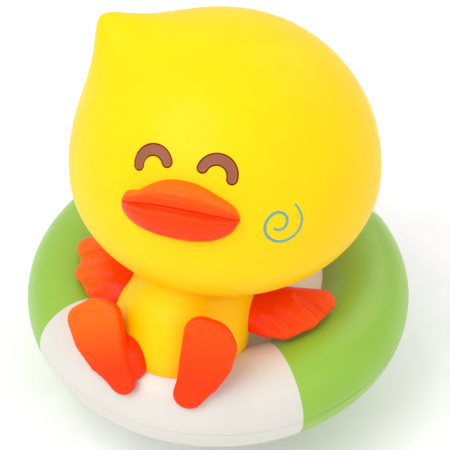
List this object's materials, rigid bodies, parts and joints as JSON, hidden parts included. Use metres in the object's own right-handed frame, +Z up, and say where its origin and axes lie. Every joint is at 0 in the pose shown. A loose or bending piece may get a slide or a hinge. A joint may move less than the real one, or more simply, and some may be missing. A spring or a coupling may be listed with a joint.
{
  "type": "floating chlorine dispenser",
  "caption": "Floating pool chlorine dispenser: a duck in a swim ring over a vented tablet canister with a turning flow sleeve and a screw-off weighted cap.",
  "frame": {"origin": "centre of the base cap's resting rim, on the axis of the ring and the canister", "axes": "+Z up along the ring's axis, the duck faces -Y, +X towards the duck's left"},
  "size_m": [0.2, 0.2, 0.2275],
  "materials": {
    "duck_yellow": "satin vinyl",
    "limb_orange": "satin vinyl",
    "eye_brown": "matt moulded",
    "cheek_teal": "matt paint",
    "ring_paint": "satin, painted in green and white quarters",
    "deck_white": "satin moulded",
    "canister_white": "fine moulded texture",
    "sleeve_green": "satin moulded",
    "washer_rubber": "matt",
    "ballast_iron": "as cast",
    "screw_steel": "brushed"
  },
  "bodies": {
    "root": {"head_shell": "duck_yellow", "right_eye": "eye_brown", "left_eye": "eye_brown", "upper_beak": "limb_orange", "lower_beak": "limb_orange", "neck_spool": "canister_white", "body_shell": "duck_yellow", "body_base_plate": "canister_white", "body_screws": "screw_steel", "right_wing": "limb_orange", "left_wing": "limb_orange", "right_foot": "limb_orange", "left_foot": "limb_orange", "ring_upper_shell": "ring_paint", "ring_lower_shell": "ring_paint", "deck_plate": "deck_white", "deck_screws": "screw_steel", "canister": "canister_white", "tether_bracket": "canister_white"},
    "flow_sleeve": {"flow_sleeve": "sleeve_green"},
    "cap_carrier": {"cap_washer": "washer_rubber"},
    "base_cap": {"base_cap": "canister_white", "ballast_ring": "ballast_iron", "ballast_cover": "canister_white"}
  },
  "joints": [
    {"name": "sleeve_turn", "type": "hinge", "parent": "root", "child": "flow_sleeve", "pos_m": [0, 0, 0.034], "axis": [0, 0, 1], "range_deg": [0, 15]},
    {"name": "cap_drop", "type": "slide", "parent": "root", "child": "cap_carrier", "axis": [0, 0, -1], "range_m": [0, 0.024]},
    {"name": "cap_turn", "type": "hinge", "parent": "cap_carrier", "child": "base_cap", "pos_m": [0, 0, 0.011], "axis": [0, 0, -1], "range_deg": [0, 360]}
  ],
  "couplings": [
    {"joint": "cap_drop", "follows": "cap_turn", "m_per_rad": 0.0038197}
  ]
}
